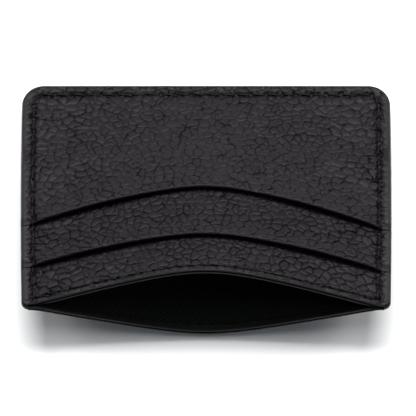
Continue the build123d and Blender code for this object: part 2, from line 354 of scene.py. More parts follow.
# ------------------------------------------------------------- mesh building
def new_object(name, verts, faces, materials, attrs=None, smooth_faces=True, face_mat=None):
    me = bpy.data.meshes.new(name)
    verts = np.asarray(verts, dtype=np.float64)
    nv = len(verts)
    me.vertices.add(nv)
    me.vertices.foreach_set("co", verts.reshape(-1))
    quads = faces.get("quads", np.zeros((0, 4), int))
    tris = faces.get("tris", np.zeros((0, 3), int))
    loops = np.concatenate([quads.reshape(-1), tris.reshape(-1)]).astype(np.int32)
    starts = np.concatenate([np.arange(len(quads)) * 4,
                             len(quads) * 4 + np.arange(len(tris)) * 3]).astype(np.int32)
    totals = np.concatenate([np.full(len(quads), 4), np.full(len(tris), 3)]).astype(np.int32)
    me.loops.add(len(loops))
    me.loops.foreach_set("vertex_index", loops)
    me.polygons.add(len(starts))
    me.polygons.foreach_set("loop_start", starts)
    me.polygons.foreach_set("loop_total", totals)
    me.update(calc_edges=True)
    me.validate()
    me.polygons.foreach_set("use_smooth", np.full(len(me.polygons), smooth_faces))
    for k, v in (attrs or {}).items():
        at = me.attributes.new(k, "FLOAT", "POINT")
        at.data.foreach_set("value", np.asarray(v, dtype=np.float32))
    for m in materials:
        me.materials.append(m)
    if face_mat is not None:
        me.polygons.foreach_set("material_index", np.asarray(face_mat, dtype=np.int32))
    ob = bpy.data.objects.new(name, me)
    bpy.context.collection.objects.link(ob)
    return ob


def grid_quads(m, n, base=0, flip=False):
    i = np.arange(m - 1)[:, None] * n + np.arange(n - 1)[None]
    i = i.reshape(-1) + base
    q = np.stack([i, i + 1, i + n + 1, i + n], -1)
    return q[:, ::-1] if flip else q


def ring_indices(m, n):
    """Boundary of an m by n grid, in order."""
    top = [(0, j) for j in range(n - 1)]
    right = [(i, n - 1) for i in range(m - 1)]
    bot = [(m - 1, j) for j in range(n - 1, 0, -1)]
    left = [(i, 0) for i in range(m - 1, 0, -1)]
    return np.array([i * n + j for i, j in top + right + bot + left])


def rows(curves, x):
    """Rows of s between control curves: [(fn, None), (fn, offsets)]."""
    out = []
    lo = curves[0][0](x)
    for fn, ts in curves[1:]:
        hi = fn(x)
        for t in ts:
            out.append(lo + (hi - lo) * t)
        lo = hi
    out.append(lo)
    return np.stack(out, 0)


def plan_grid(curves, us, q_in):
    """Grid of (x, s): rows follow the control curves, ends follow the outline."""
    n_rows = sum(len(t) for _, t in curves[1:]) + 1
    x = np.repeat(us[None] * (WIDTH / 2), n_rows, 0)
    s = None
    for _ in range(6):
        s = np.empty_like(x)
        r = 0
        for k in range(1, len(curves)):
            fn, ts = curves[k]
            for t in ts:
                lo, hi = curves[k - 1][0](x[r]), fn(x[r])
                s[r] = lo + (hi - lo) * t
                r += 1
        s[r] = curves[-1][0](x[r])
        x = us[None] * row_half(s, q_in)
    return x, s


def thick_sheet(name, x, s, n_top, n_bot_fn, front, materials, k=4, crease=None, attrs=None):
    """Closed sheet: fine outer face, coarse inner face, walls between."""
    sg = 1.0 if front else -1.0
    m, n = x.shape
    top = world(x, s, sg * n_top).reshape(-1, 3)
    ii = np.unique(np.append(np.arange(0, m, k), m - 1))
    jj = np.unique(np.append(np.arange(0, n, k), n - 1))
    xb, sb = x[np.ix_(ii, jj)], s[np.ix_(ii, jj)]
    bot = world(xb, sb, sg * n_bot_fn(xb, sb)).reshape(-1, 3)
    mb, nb = xb.shape
    base = m * n
    up = front
    quads = np.concatenate([grid_quads(m, n, 0, flip=up), grid_quads(mb, nb, base, flip=not up)])
    # walls: fine ring to coarse ring
    tris = []

    def wall_strip(fine, coarse, steps, flip):
        c = 0
        for a in range(len(steps) - 1):
            f0, f1 = steps[a], steps[a + 1]
            midp = (f0 + f1) // 2
            for f in range(f0, f1):
                owner = coarse[a] if f < midp else coarse[a + 1]
                t = (fine[f], fine[f + 1], owner)
                tris.append(t[::-1] if flip else t)
            t = (coarse[a], fine[midp], coarse[a + 1])
            tris.append(t[::-1] if flip else t)
    fi = lambda i, j: i * n + j
    co = lambda i, j: base + i * nb + j
    wall_strip([fi(0, j) for j in range(n)], [co(0, j) for j in range(nb)], list(jj), not up)
    wall_strip([fi(m - 1, j) for j in range(n)], [co(mb - 1, j) for j in range(nb)], list(jj), up)
    wall_strip([fi(i, 0) for i in range(m)], [co(i, 0) for i in range(mb)], list(ii), up)
    wall_strip([fi(i, n - 1) for i in range(m)], [co(i, nb - 1) for i in range(mb)], list(ii), not up)
    verts = np.concatenate([top, bot])
    at = {}
    for key, val in (attrs or {}).items():
        at[key] = np.concatenate([np.asarray(val).reshape(-1), np.zeros(len(bot))])
    return new_object(name, verts, {"quads": quads, "tris": np.array(tris)}, materials, at)


def tube_mesh(lines, radius, sides=10, ply=0.0, turns=0.0, flat=1.0, seed=0):
    """Round threads along many short lines; ply > 0 shows two twisted strands."""
    vs, qs, ts = [], [], []
    base = 0
    rng = np.random.default_rng(seed)
    for pts in lines:
        pts = np.asarray(pts)
        m = len(pts)
        tan = np.gradient(pts, axis=0)
        tan /= np.linalg.norm(tan, axis=1, keepdims=True)
        ref = np.array([0.0, 0.0, 1.0])
        a = np.cross(tan, ref); a /= np.maximum(np.linalg.norm(a, axis=1, keepdims=True), 1e-9)
        b = np.cross(a, tan)
        ph = rng.random() * 6.28
        th = np.arange(sides) / sides * 2 * math.pi
        for i in range(m):
            tt = i / (m - 1)
            end = math.sqrt(max(1 - (2 * tt - 1) ** 8, 0.02))
            r = radius * end * (1 + ply * np.cos(2 * (th - ph - turns * 2 * math.pi * tt)))
            ring = pts[i] + (np.cos(th) * r)[:, None] * a[i] + (np.sin(th) * r * flat)[:, None] * b[i]
            vs.append(ring)
        for i in range(m - 1):
            r0 = base + i * sides
            for j in range(sides):
                j2 = (j + 1) % sides
                qs.append((r0 + j, r0 + j2, r0 + sides + j2, r0 + sides + j))
        vs.append(pts[:1]); vs.append(pts[-1:])
        c0, c1 = base + m * sides, base + m * sides + 1
        for j in range(sides):
            j2 = (j + 1) % sides
            ts.append((c0, base + j2, base + j))
            ts.append((c1, base + (m - 1) * sides + j, base + (m - 1) * sides + j2))
        base += m * sides + 2
    return np.concatenate(vs), np.array(qs), np.array(ts)


def sweep_mesh(sections, closed_ring=True):
    """Skin a list of equal closed sections (k, p, 3), with capped ends."""
    sec = np.asarray(sections)
    k, p, _ = sec.shape
    vs = sec.reshape(-1, 3)
    q = []
    i = np.arange(k - 1)[:, None] * p
    j = np.arange(p)[None]
    j2 = (j + 1) % p
    q = np.stack([(i + j).reshape(-1), (i + j2).reshape(-1), (i + p + j2).reshape(-1),
                  (i + p + j).reshape(-1)], -1)
    c0, c1 = len(vs), len(vs) + 1
    vs = np.concatenate([vs, sec[0].mean(0)[None], sec[-1].mean(0)[None]])
    ts = []
    for a in range(p):
        b = (a + 1) % p
        ts.append((c0, b, a))
        ts.append((c1, (k - 1) * p + a, (k - 1) * p + b))
    return vs, q, np.array(ts)


# ----------------------------------------------------------------- materials
def nodes_of(name):
    m = bpy.data.materials.new(name)
    m.use_nodes = True
    nt = m.node_tree
    bsdf = nt.nodes["Principled BSDF"]
    return m, nt, bsdf


def link(nt, a, b):
    nt.links.new(a, b)


def noise(nt, coord, scale, detail=2.0, rough=0.5, distortion=0.0):
    n = nt.nodes.new("ShaderNodeTexNoise")
    n.inputs["Scale"].default_value = scale
    n.inputs["Detail"].default_value = detail
    n.inputs["Roughness"].default_value = rough
    n.inputs["Distortion"].default_value = distortion
    link(nt, coord, n.inputs["Vector"])
    return n.outputs["Fac"]


def ramp(nt, fac, stops):
    r = nt.nodes.new("ShaderNodeValToRGB")
    el = r.color_ramp.elements
    while len(el) > 1:
        el.remove(el[-1])
    el[0].position, el[0].color = stops[0][0], (*stops[0][1], 1)
    for pos, col in stops[1:]:
        e = el.new(pos)
        e.color = (*col, 1)
    link(nt, fac, r.inputs["Fac"])
    return r.outputs["Color"]


def mathn(nt, op, a, b=None, c=None):
    n = nt.nodes.new("ShaderNodeMath")
    n.operation = op
    for i, v in enumerate((a, b, c)):
        if v is None:
            continue
        if isinstance(v, (int, float)):
            n.inputs[i].default_value = v
        else:
            link(nt, v, n.inputs[i])
    return n.outputs[0]


def mixc(nt, fac, a, b, blend="MIX"):
    n = nt.nodes.new("ShaderNodeMix")
    n.data_type = "RGBA"
    n.blend_type = blend
    if isinstance(fac, (int, float)):
        n.inputs["Factor"].default_value = fac
    else:
        link(nt, fac, n.inputs["Factor"])
    for sock, v in (("A", a), ("B", b)):
        i = [k for k in n.inputs if k.name == sock and k.type == "RGBA"][0]
        if isinstance(v, tuple):
            i.default_value = (*v, 1)
        else:
            link(nt, v, i)
    return [o for o in n.outputs if o.type == "RGBA"][0]


def bump(nt, height, dist, strength=1.0, normal=None):
    b = nt.nodes.new("ShaderNodeBump")
    b.inputs["Strength"].default_value = strength
    b.inputs["Distance"].default_value = dist
    link(nt, height, b.inputs["Height"])
    if normal is not None:
        link(nt, normal, b.inputs["Normal"])
    return b.outputs["Normal"]


def coords(nt):
    return nt.nodes.new("ShaderNodeTexCoord").outputs["Object"]


def attribute(nt, name):
    a = nt.nodes.new("ShaderNodeAttribute")
    a.attribute_name = name
    return a.outputs["Fac"]


def leather_material(name, base, painted_shade, rough=0.47, spec=0.5):
    m, nt, bs = nodes_of(name)
    co = coords(nt)
    cr = mathn(nt, "POWER", attribute(nt, "crease"), 1.45)
    rim = attribute(nt, "rim")
    tone = noise(nt, co, 55.0, 3.0, 0.55)
    col = ramp(nt, tone, [(0.30, tuple(c * 0.90 for c in base)), (0.70, tuple(c * 1.10 for c in base))])
    mot = noise(nt, co, 420.0, 2.0, 0.6)
    col = mixc(nt, mathn(nt, "MULTIPLY", mot, 0.22), col, tuple(c * 1.5 for c in base))
    # Lighter along the smooth pressed margin, which is its own tone, and along each panel's mouth arris, where the
    # lightening is a painted highlight.
    col = mixc(nt, mathn(nt, "MULTIPLY", rim, 0.45), col, tuple(c * 1.55 for c in base))
    # Creases, seam grooves, needle holes and the gap under each slot lip are darkened towards the painted shade
    # colour: painted shade.
    col = mixc(nt, mathn(nt, "MULTIPLY", cr, 0.85), col, painted_shade)
    link(nt, col, bs.inputs["Base Color"])
    r = mathn(nt, "MULTIPLY_ADD", mot, 0.14, rough - 0.07)
    r = mathn(nt, "MULTIPLY_ADD", cr, 0.25, r)
    r = mathn(nt, "MULTIPLY_ADD", rim, -0.06, r)
    link(nt, r, bs.inputs["Roughness"])
    # Specular is cut in the same places, also as painted shade.
    gl = mathn(nt, "SUBTRACT", spec, mathn(nt, "MULTIPLY", cr, spec * 0.92))
    link(nt, gl, bs.inputs["Specular IOR Level"])
    bs.inputs["IOR"].default_value = 1.46
    pores = nt.nodes.new("ShaderNodeTexVoronoi")
    pores.feature = "SMOOTH_F1"
    pores.inputs["Scale"].default_value = 2300.0
    link(nt, co, pores.inputs["Vector"])
    micro = noise(nt, co, 5200.0, 3.0, 0.6)
    fine = nt.nodes.new("ShaderNodeTexVoronoi")
    fine.feature = "DISTANCE_TO_EDGE"
    fine.inputs["Scale"].default_value = 1250.0
    bent = nt.nodes.new("ShaderNodeVectorMath")
    bent.operation = "MULTIPLY_ADD"
    wob = nt.nodes.new("ShaderNodeTexNoise")
    wob.inputs["Scale"].default_value = 900.0
    link(nt, co, wob.inputs["Vector"])
    link(nt, wob.outputs["Color"], bent.inputs[0])
    bent.inputs[1].default_value = (0.0007, 0.0007, 0.0007)
    link(nt, co, bent.inputs[2])
    link(nt, bent.outputs[0], fine.inputs["Vector"])
    wr = mathn(nt, "MINIMUM", fine.outputs["Distance"], 0.12)
    h = mathn(nt, "MULTIPLY_ADD", pores.outputs["Distance"], 0.6, micro)
    h = mathn(nt, "MULTIPLY_ADD", wr, 7.0, h)
    h = mathn(nt, "MULTIPLY", h, mathn(nt, "SUBTRACT", 1.0, mathn(nt, "MULTIPLY", rim, 0.75)))
    nrm = bump(nt, h, 0.000022, 0.55)
    link(nt, nrm, bs.inputs["Normal"])
    return m


def paint_material(name, base, rough=0.38, spec=0.16):
    m, nt, bs = nodes_of(name)
    co = coords(nt)
    t = noise(nt, co, 260.0, 3.0, 0.6)
    col = ramp(nt, t, [(0.3, tuple(c * 0.82 for c in base)), (0.75, tuple(c * 1.25 for c in base))])
    link(nt, col, bs.inputs["Base Color"])
    r = mathn(nt, "MULTIPLY_ADD", noise(nt, co, 900.0, 2.0), 0.22, rough - 0.11)
    link(nt, r, bs.inputs["Roughness"])
    bs.inputs["Specular IOR Level"].default_value = spec
    h = mathn(nt, "MULTIPLY_ADD", noise(nt, co, 1500.0, 3.0, 0.6), 0.5, t)
    link(nt, bump(nt, h, 0.00004, 0.6), bs.inputs["Normal"])
    return m


def twill_material(name, base, angle, pitch):
    """Twill cloth: diagonal ribs of weft floats, each rib cut by the warp."""
    m, nt, bs = nodes_of(name)
    px, ps = attribute(nt, "px"), attribute(nt, "ps")
    a = math.radians(angle)
    # px, ps are millimetres on the flat cloth
    along = mathn(nt, "ADD", mathn(nt, "MULTIPLY", px, math.cos(a)), mathn(nt, "MULTIPLY", ps, -math.sin(a)))
    across = mathn(nt, "ADD", mathn(nt, "MULTIPLY", px, math.sin(a)), mathn(nt, "MULTIPLY", ps, math.cos(a)))
    co = coords(nt)
    wob = noise(nt, co, 900.0, 1.0)
    across = mathn(nt, "MULTIPLY_ADD", wob, 0.08, across)
    rib = mathn(nt, "SINE", mathn(nt, "MULTIPLY", across, 2 * math.pi / pitch))
    rib = mathn(nt, "MULTIPLY_ADD", rib, 0.5, 0.5)
    yarn = mathn(nt, "SINE", mathn(nt, "MULTIPLY_ADD", along, 2 * math.pi / 0.42,
                                   mathn(nt, "MULTIPLY", across, 2 * math.pi / pitch * 0.5)))
    yarn = mathn(nt, "MULTIPLY_ADD", yarn, 0.5, 0.5)
    h = mathn(nt, "ADD", rib, mathn(nt, "MULTIPLY", yarn, 0.16))
    fibre = noise(nt, co, 6000.0, 2.0, 0.7)
    h = mathn(nt, "MULTIPLY_ADD", fibre, 0.22, h)
    # Rib tops are lightened and the valleys between ribs darkened almost to black, with more specular on the tops:
    # painted highlight and painted shade on the ribs.
    col = ramp(nt, rib, [(0.40, tuple(c * 0.03 for c in base)), (0.74, base), (1.0, tuple(c * 3.2 for c in base))])
    fl = noise(nt, co, 2600.0, 2.0, 0.7)
    col = mixc(nt, mathn(nt, "MULTIPLY", mathn(nt, "GREATER_THAN", fl, 0.68), 0.35), col,
               tuple(c * 3.0 for c in base))
    link(nt, col, bs.inputs["Base Color"])
    bs.inputs["Roughness"].default_value = 0.72
    gl = mathn(nt, "MULTIPLY_ADD", rib, 0.26, 0.02)
    link(nt, gl, bs.inputs["Specular IOR Level"])
    bs.inputs["Sheen Weight"].default_value = 0.02
    bs.inputs["Sheen Roughness"].default_value = 0.5
    link(nt, bump(nt, h, 0.00013, 1.0), bs.inputs["Normal"])
    return m


def cloth_material(name, base):
    m, nt, bs = nodes_of(name)
    co = coords(nt)
    sep = nt.nodes.new("ShaderNodeSeparateXYZ")
    link(nt, co, sep.inputs[0])
    w1 = mathn(nt, "SINE", mathn(nt, "MULTIPLY", sep.outputs[0], 2 * math.pi / 0.00028))
    w2 = mathn(nt, "SINE", mathn(nt, "MULTIPLY", sep.outputs[1], 2 * math.pi / 0.00028))
    h = mathn(nt, "MULTIPLY", w1, w2)
    col = ramp(nt, mathn(nt, "MULTIPLY_ADD", h, 0.5, 0.5),
               [(0.2, tuple(c * 0.6 for c in base)), (0.9, tuple(c * 1.3 for c in base))])
    link(nt, col, bs.inputs["Base Color"])
    bs.inputs["Roughness"].default_value = 0.75
    link(nt, bump(nt, h, 0.00003, 0.6), bs.inputs["Normal"])
    return m


def thread_material(name, base):
    m, nt, bs = nodes_of(name)
    co = coords(nt)
    f = noise(nt, co, 5200.0, 3.0, 0.7)
    col = ramp(nt, f, [(0.25, tuple(c * 0.55 for c in base)), (0.62, base), (0.85, tuple(c * 2.2 for c in base))])
    link(nt, col, bs.inputs["Base Color"])
    link(nt, mathn(nt, "MULTIPLY_ADD", f, 0.3, 0.42), bs.inputs["Roughness"])
    bs.inputs["Specular IOR Level"].default_value = 0.16
    link(nt, bump(nt, f, 0.00003, 0.8), bs.inputs["Normal"])
    return m


def board_material(name):
    m, nt, bs = nodes_of(name)
    co = coords(nt)
    f = noise(nt, co, 1400.0, 4.0, 0.7)
    col = ramp(nt, f, [(0.3, (0.12, 0.10, 0.085)), (0.7, (0.20, 0.175, 0.15))])
    link(nt, col, bs.inputs["Base Color"])
    bs.inputs["Roughness"].default_value = 0.85
    link(nt, bump(nt, f, 0.00003, 0.6), bs.inputs["Normal"])
    return m


# Each leather's second colour is the painted shade laid into its creases, seams and holes.
LEATHER = leather_material("pebbled_leather", (0.0093, 0.0075, 0.0092), (0.0012, 0.0010, 0.0012), spec=0.15)
# The facing is set darker than the outer leather, in part as painted shade inside the mouth.
FACING = leather_material("facing_leather", (0.0040, 0.0038, 0.0040), (0.0015, 0.0015, 0.0015), rough=0.55, spec=0.14)
PAINTED = paint_material("edge_paint", (0.0030, 0.0033, 0.0040), rough=0.40, spec=0.12)
# Near-black colour laid into the recessed groove at the mouth edge: painted shade.
GROOVE_SHADE = paint_material("groove_painted_shade", (0.0006, 0.0006, 0.0007), rough=0.8, spec=0.02)
RIM_PAINT = paint_material("rim_edge_paint", (0.0080, 0.0066, 0.0080), rough=0.50)
TWILL = twill_material("twill_lining", (0.0022, 0.0028, 0.0034), 29.5, 0.70)
PLAIN = cloth_material("slot_lining", (0.012, 0.012, 0.013))
THREAD = thread_material("thread", (0.0030, 0.0029, 0.0033))
BOARD = board_material("stiffener_board")

done = []


def finish_piece(ob, node, replace=True):
    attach(ob, "root")
    if replace:
        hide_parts(node)
    done.append(ob)


# -------------------------------------------------------------- leather walls
DENS = 1.0


def lin(a, b, step):
    n = max(int(round((b - a) / step * DENS)), 1)
    return [i / n for i in range(n)]


def leather_panel(name, node, front, curves, step_x, top_fn, bot_fn, q_in, cut, seed,
                  zone_half, mouth_margin=0.6, mouth_line=False, arris=0.24, k=4, step=0.0,
                  under=None):
    nx = int(2 * 49.0 / step_x * DENS)
    nx = nx // k * k
    us = np.linspace(-1, 1, nx + 1)
    x, s = plan_grid(curves, us, q_in)
    q = inset(x, s)
    d = cut(x) - s
    h, crease = grain(x, s, seed)
    if seed == 11:
        long = long_fold(x, s)
        h = h - 0.24 * long
        # The long fold is also darkened as painted shade.
        crease = np.clip(crease + 0.95 * long, 0, 1)
    rim = 1 - smooth((q - 1.15) / 1.1)
    topw = 1 - smooth((s - 2.5) / 1.5)
    fade = smooth((q - 1.0 + 0.7 * topw) / (1.6 - 0.8 * topw))
    fade *= 0.35 + 0.65 * smooth((d - 0.1) / mouth_margin)
    h = h * fade
    crease = crease * fade
    g, painted_shade = seam_relief(x, s, q, seed)
    h = h + g
    # The seam's painted shade joins the crease mask.
    crease = np.clip(crease + painted_shade * 0.75, 0, 1)
    if mouth_line:
        wob = 0.07 * value_noise(x, s, seed + 60, 1.1)
        dm = d - MOUTH_STITCH_IN + wob
        inside = smooth((q - PAINT - MARGIN) / 0.8)
        dm = dm + 0.14 * value_noise(x, s, seed + 61, 0.55)
        line = np.exp(-(dm / 0.30) ** 2) * inside
        hol = near_points(x, s, mouth_holes(front), 0.36) * inside
        tick = np.exp(-((value_noise(x, s * 0.3, seed + 62, 0.5) - 0.05) / 0.18) ** 2) \
            * np.exp(-(dm / 0.5) ** 2) * inside
        h = h - 0.15 * line - 0.20 * hol - 0.08 * tick + 0.05 * np.exp(-((d - 0.9) / 0.5) ** 2)
        line = np.clip(line + 0.7 * tick, 0, 1.4)
        # The mouth stitch groove, its ticks and holes are darkened as painted shade.
        crease = np.clip(crease * (1 - 0.6 * smooth(1 - (d - 0.5) / 1.6)) + 0.70 * line + 0.90 * hol, 0, 1)
    n = top_fn(x, s, d)
    ramp_down = step_ramp(q, d, step)
    drop = nose_drop(q, zone_half(x, s) - ramp_down)
    n = n + h - drop - 0.02 * (q < NOSE) - ramp_down
    if under is not None:
        # the leather under the next panel's mouth is drawn in, and gathers a little past it; the crease mask also
        # darkens it there as painted shade under the lip
        past = s - under(x)
        inside = smooth((q - PAINT - MARGIN + 0.3) / 1.5)
        n = n - 0.45 * inside * np.exp(-(np.maximum(past - 0.15, 0.0) / 0.70) ** 2) * (past > -1.2)
        gather = value_noise(x, s * 0.5, seed + 50, 0.85) * np.exp(-((past - 1.1) / 0.9) ** 2)
        n = n + 0.13 * gather * inside
        crease = np.clip(crease + inside * np.exp(-((past - 0.35) / 0.45) ** 2)
                         * (0.35 + 0.45 * smooth(gather * 3.0 + 0.5)), 0, 1)
    dd = np.clip(d, 0, arris)
    n = n - (arris - np.sqrt(np.maximum(arris ** 2 - (arris - dd) ** 2, 0)))
    # The mouth arris joins the rim mask: a painted highlight along the slot and mouth edges.
    rim = np.maximum(rim, 1.0 * np.exp(-(np.maximum(d, 0) / 0.60) ** 2))
    ob = thick_sheet(name, x, s, n, bot_fn, front, [LEATHER], k=k,
                     attrs={"crease": crease, "rim": rim})
    finish_piece(ob, node)
    return ob


def corner_ts(q_in):
    n = max(int(22 * DENS), 6)
    return [1 - math.cos(i / n * math.pi / 2) for i in range(n)]


def near_cut(total, step):
    """Row parameters that end with a few close rows at the cut edge."""
    tail = [0.42, 0.27, 0.16, 0.085, 0.035]
    n = max(int(round((total - 0.6) / step * DENS)), 2)
    t = [i / n * (1 - 0.6 / total) for i in range(n + 1)]
    return t + [1 - d / total for d in tail]


for front in (True, False):
    side = "front" if front else "back"
    cutm = CUT[front]
    base_seed = 11 if front else 211

    def end_curve(q):
        return lambda x: 0 * x + (q - PAINT)

    def at(v):
        return lambda x: 0 * x + v

    def shift(fn, v):
        return lambda x: fn(x) + v

    # outer slot panel
    qi = 0.30
    lip_a = lambda x, s, d: LIP * np.exp(-(d / 4.0) ** 2) * smooth((inset(x, s) - 2.5) / 5.0)
    leather_panel(
        f"{side}_outer_slot_leather_panel", f"{side}_outer_slot_leather", front,
        [(end_curve(qi), None), (at(RC - PAINT), corner_ts(qi)), (cut_outer, near_cut(37.0, 0.222))],
        0.222,
        lambda x, s, d: wall(x, s, front) + off_outer(x, s, front) + OUT_STACK + lip_a(x, s, d),
        lambda x, s: wall(x, s, front) + off_outer(x, s, front) + T_SLOT_LINING + GLUE
        - 0.5 * nose_drop(inset(x, s), 1.0),
        qi, cut_outer, base_seed,
        lambda x, s: off_outer(x, s, front) + OUT_STACK, step=O_OUT_HIGH + OUT_STACK - O_MID_TOP,
        arris=0.42)

    # middle slot panel
    leather_panel(
        f"{side}_middle_slot_leather_panel", f"{side}_middle_slot_leather", front,
        [(at(STRIP_TOP), None), (shift(cut_outer, -2.5), [i / 6 for i in range(6)]),
         (cut_middle, near_cut(17.0, 0.165))],
        0.165,
        lambda x, s, d: wall(x, s, front) + off_middle(x, s, front) + O_MID_TOP
        + LIP * np.exp(-(d / 3.5) ** 2) * smooth((inset(x, s) - 2.5) / 5.0)
        - 0.06 * (s < cut_outer(x) - 0.4),
        lambda x, s: wall(x, s, front) + off_middle(x, s, front) + O_MID
        - 0.4 * nose_drop(inset(x, s), 1.0),
        qi, cut_middle, base_seed + 31,
        lambda x, s: O_MID_TOP + 0 * x, step=O_MID_TOP - O_BASE_TOP, under=cut_outer, arris=0.42)

    # base panel, to the mouth of the central pocket
    leather_panel(
        f"{side}_base_leather_panel", f"{side}_base_leather", front,
        [(end_curve(0.9), None), (at(RC - PAINT), [i / 6 for i in range(6)]),
         (shift(cut_middle, -2.5), [i / 12 for i in range(12)]),
         (cutm, near_cut(15.0, 0.165))],
        0.165,
        lambda x, s, d: wall(x, s, front) + O_BASE_TOP - 0.05 * (s < cut_middle(x) - 0.4),
        lambda x, s: wall(x, s, front) + O_BASE - 0.3 * nose_drop(inset(x, s), 0.8)
        + 0.26 * np.exp(-(np.maximum(cutm(x) - s, 0) / 0.5) ** 2),
        qi + 0.02, cutm, base_seed + 67,
        lambda x, s: O_BASE_TOP + 0 * x, mouth_margin=0.5, mouth_line=True, under=cut_middle)


# ------------------------------------------------------- painted mouth edges
def edge_strip(cut, front, lo_fn, hi_fn, bulge, q_end=0.9, n=520, seed=5):
    """Rounded ribbon of paint on a cut edge, from n = lo to n = hi."""
    sg = 1.0 if front else -1.0
    n = int(n * DENS)
    secs = []
    lim = 49.9
    xs = np.linspace(-1, 1, n)
    out = []
    for u in xs:
        x = u * lim
        for _ in range(4):
            s = float(cut(np.array(x)))
            x = u * float(row_half(np.array(min(s, HEIGHT - q_end)), q_end))
        out.append((x, float(cut(np.array(x)))))
    out = np.array(out)
    x, s = out[:, 0], out[:, 1]
    lo, hi = lo_fn(x, s), hi_fn(x, s)
    phis = np.linspace(-math.pi / 2, math.pi / 2, 11)
    wob = 0.018 * value_noise(x, s, seed, 1.6) + 0.012 * value_noise(x, s, seed + 1, 0.6)
    dx = np.gradient(x); ds = np.gradient(s)
    ln = np.hypot(dx, ds)
    ox, os_ = -ds / ln, dx / ln          # outward in plan
    secs = []
    for f in phis:
        o = (bulge + wob) * max(math.cos(f), 0.0) ** 0.75
        nn = (lo + hi) / 2 + (hi - lo) / 2 * math.sin(f)
        secs.append(world(x + ox * o, s + os_ * o, sg * nn))
    for f in (1, -1):
        nn = (lo + hi) / 2 + (hi - lo) / 2 * f
        secs.append(world(x - ox * 0.12, s - os_ * 0.12, sg * (nn - f * 0.04)))
    sec = np.stack(secs, 1)
    if not front:
        sec = sec[:, ::-1]
    return sweep_mesh(sec)


def join_meshes(parts):
    vs, qs, ts = [], [], []
    base = 0
    for v, q, t in parts:
        vs.append(v); qs.append(q + base); ts.append(t + base)
        base += len(v)
    return np.concatenate(vs), np.concatenate(qs), np.concatenate(ts)


for front in (True, False):
    side = "front" if front else "back"
    cutm = CUT[front]
    lipx = lambda x, s: LIP * smooth((inset(x, s) - 2.5) / 5.0)
    v, q, t = edge_strip(
        cut_outer, front,
        lambda x, s: wall(x, s, front) + off_outer(x, s, front) - 0.02
        - pressed(inset(x, s)) * 0.05,
        lambda x, s: wall(x, s, front) + off_outer(x, s, front) + OUT_STACK - 0.34 + lipx(x, s)
        - step_ramp(inset(x, s), 0 * x, O_OUT_HIGH + OUT_STACK - O_MID_TOP), 0.10, q_end=1.3)
    finish_piece(new_object(f"{side}_outer_slot_edge_paint_bead", v, {"quads": q, "tris": t}, [PAINTED]),
                 f"{side}_outer_slot_edge_paint")
    v, q, t = edge_strip(
        cut_middle, front,
        lambda x, s: wall(x, s, front) + off_middle(x, s, front) + O_MID_LINING - 0.02,
        lambda x, s: wall(x, s, front) + off_middle(x, s, front) + O_MID_TOP - 0.34 + lipx(x, s)
        - step_ramp(inset(x, s), 0 * x, O_MID_TOP - O_BASE_TOP), 0.10, q_end=1.3)
    finish_piece(new_object(f"{side}_middle_slot_edge_paint_bead", v, {"quads": q, "tris": t}, [PAINTED]),
                 f"{side}_middle_slot_edge_paint")
    outer = edge_strip(
        cutm, front,
        lambda x, s: wall(x, s, front) + 0.68,
        lambda x, s: wall(x, s, front) + O_BASE_TOP - 0.14, 0.05, q_end=1.1)
    # The recessed middle ribbon takes the near-black groove colour, painted shade between the leather and the facing.
    mid = edge_strip(
        cutm, front,
        lambda x, s: wall(x, s, front) - 0.06,
        lambda x, s: wall(x, s, front) + 0.72, -0.30, q_end=1.1, seed=35)
    inner = edge_strip(
        cutm, front,
        lambda x, s: wall(x, s, front) - 0.66 * smooth((inset(x, s) - 2.5) / 6.0),
        lambda x, s: wall(x, s, front) - 0.02, 0.10, q_end=1.1, seed=25)
    v, q, t = join_meshes([outer, mid, inner])
    kq, kt = len(mid[1]), len(mid[2])
    fm = np.concatenate([np.repeat([0, 1, 0], kq), np.repeat([0, 1, 0], kt)])
    finish_piece(new_object(f"{side}_mouth_edge_paint_beads", v, {"quads": q, "tris": t}, [PAINTED, GROOVE_SHADE],
                            face_mat=fm), f"{side}_mouth_edge_paint")

    # facing inside the mouth
    nx = int(300 * DENS) // 4 * 4
    us = np.linspace(-1, 1, nx + 1)
    x, s = plan_grid([(lambda x: cutm(x) - FACING_SHOW, None), (cutm, [i / 14 for i in range(14)])], us, 1.0)
    d = cutm(x) - s
    inn = 0.30 * smooth((inset(x, s) - 2.5) / 3.0)
    inn = inn + 0.34 * smooth((inset(x, s) - 2.5) / 6.0) * np.exp(-(d / 0.9) ** 2)
    rough_edge = 0.05 * value_noise(x, s, 77, 0.5)
    hol = near_points(x, s, mouth_holes(front), 0.30)
    n_in = wall(x, s, front) - inn + 0.12 * hol + 0.22 * smooth(1 - (FACING_SHOW - d) / 0.35) \
        + 0.015 * value_noise(x, s, 78, 0.45) + 0.02 * value_noise(x, s, 79, 1.3)
    ob = thick_sheet(f"{side}_mouth_facing_strip", x, s, -n_in,
                     lambda a, b: -(wall(a, b, front) + 0.20
                                    - 0.22 * np.exp(-(np.maximum(cutm(a) - b, 0) / 0.4) ** 2)),
                     not front, [FACING], k=2,
                     # Stitch holes are darkened as painted shade; the noise is random tone.
                     attrs={"crease": np.clip(0.25 * value_noise(x, s, 80, 0.8) + 0.8 * hol, 0, 1),
                            "rim": 0 * x})
    finish_piece(ob, f"{side}_mouth_facing")

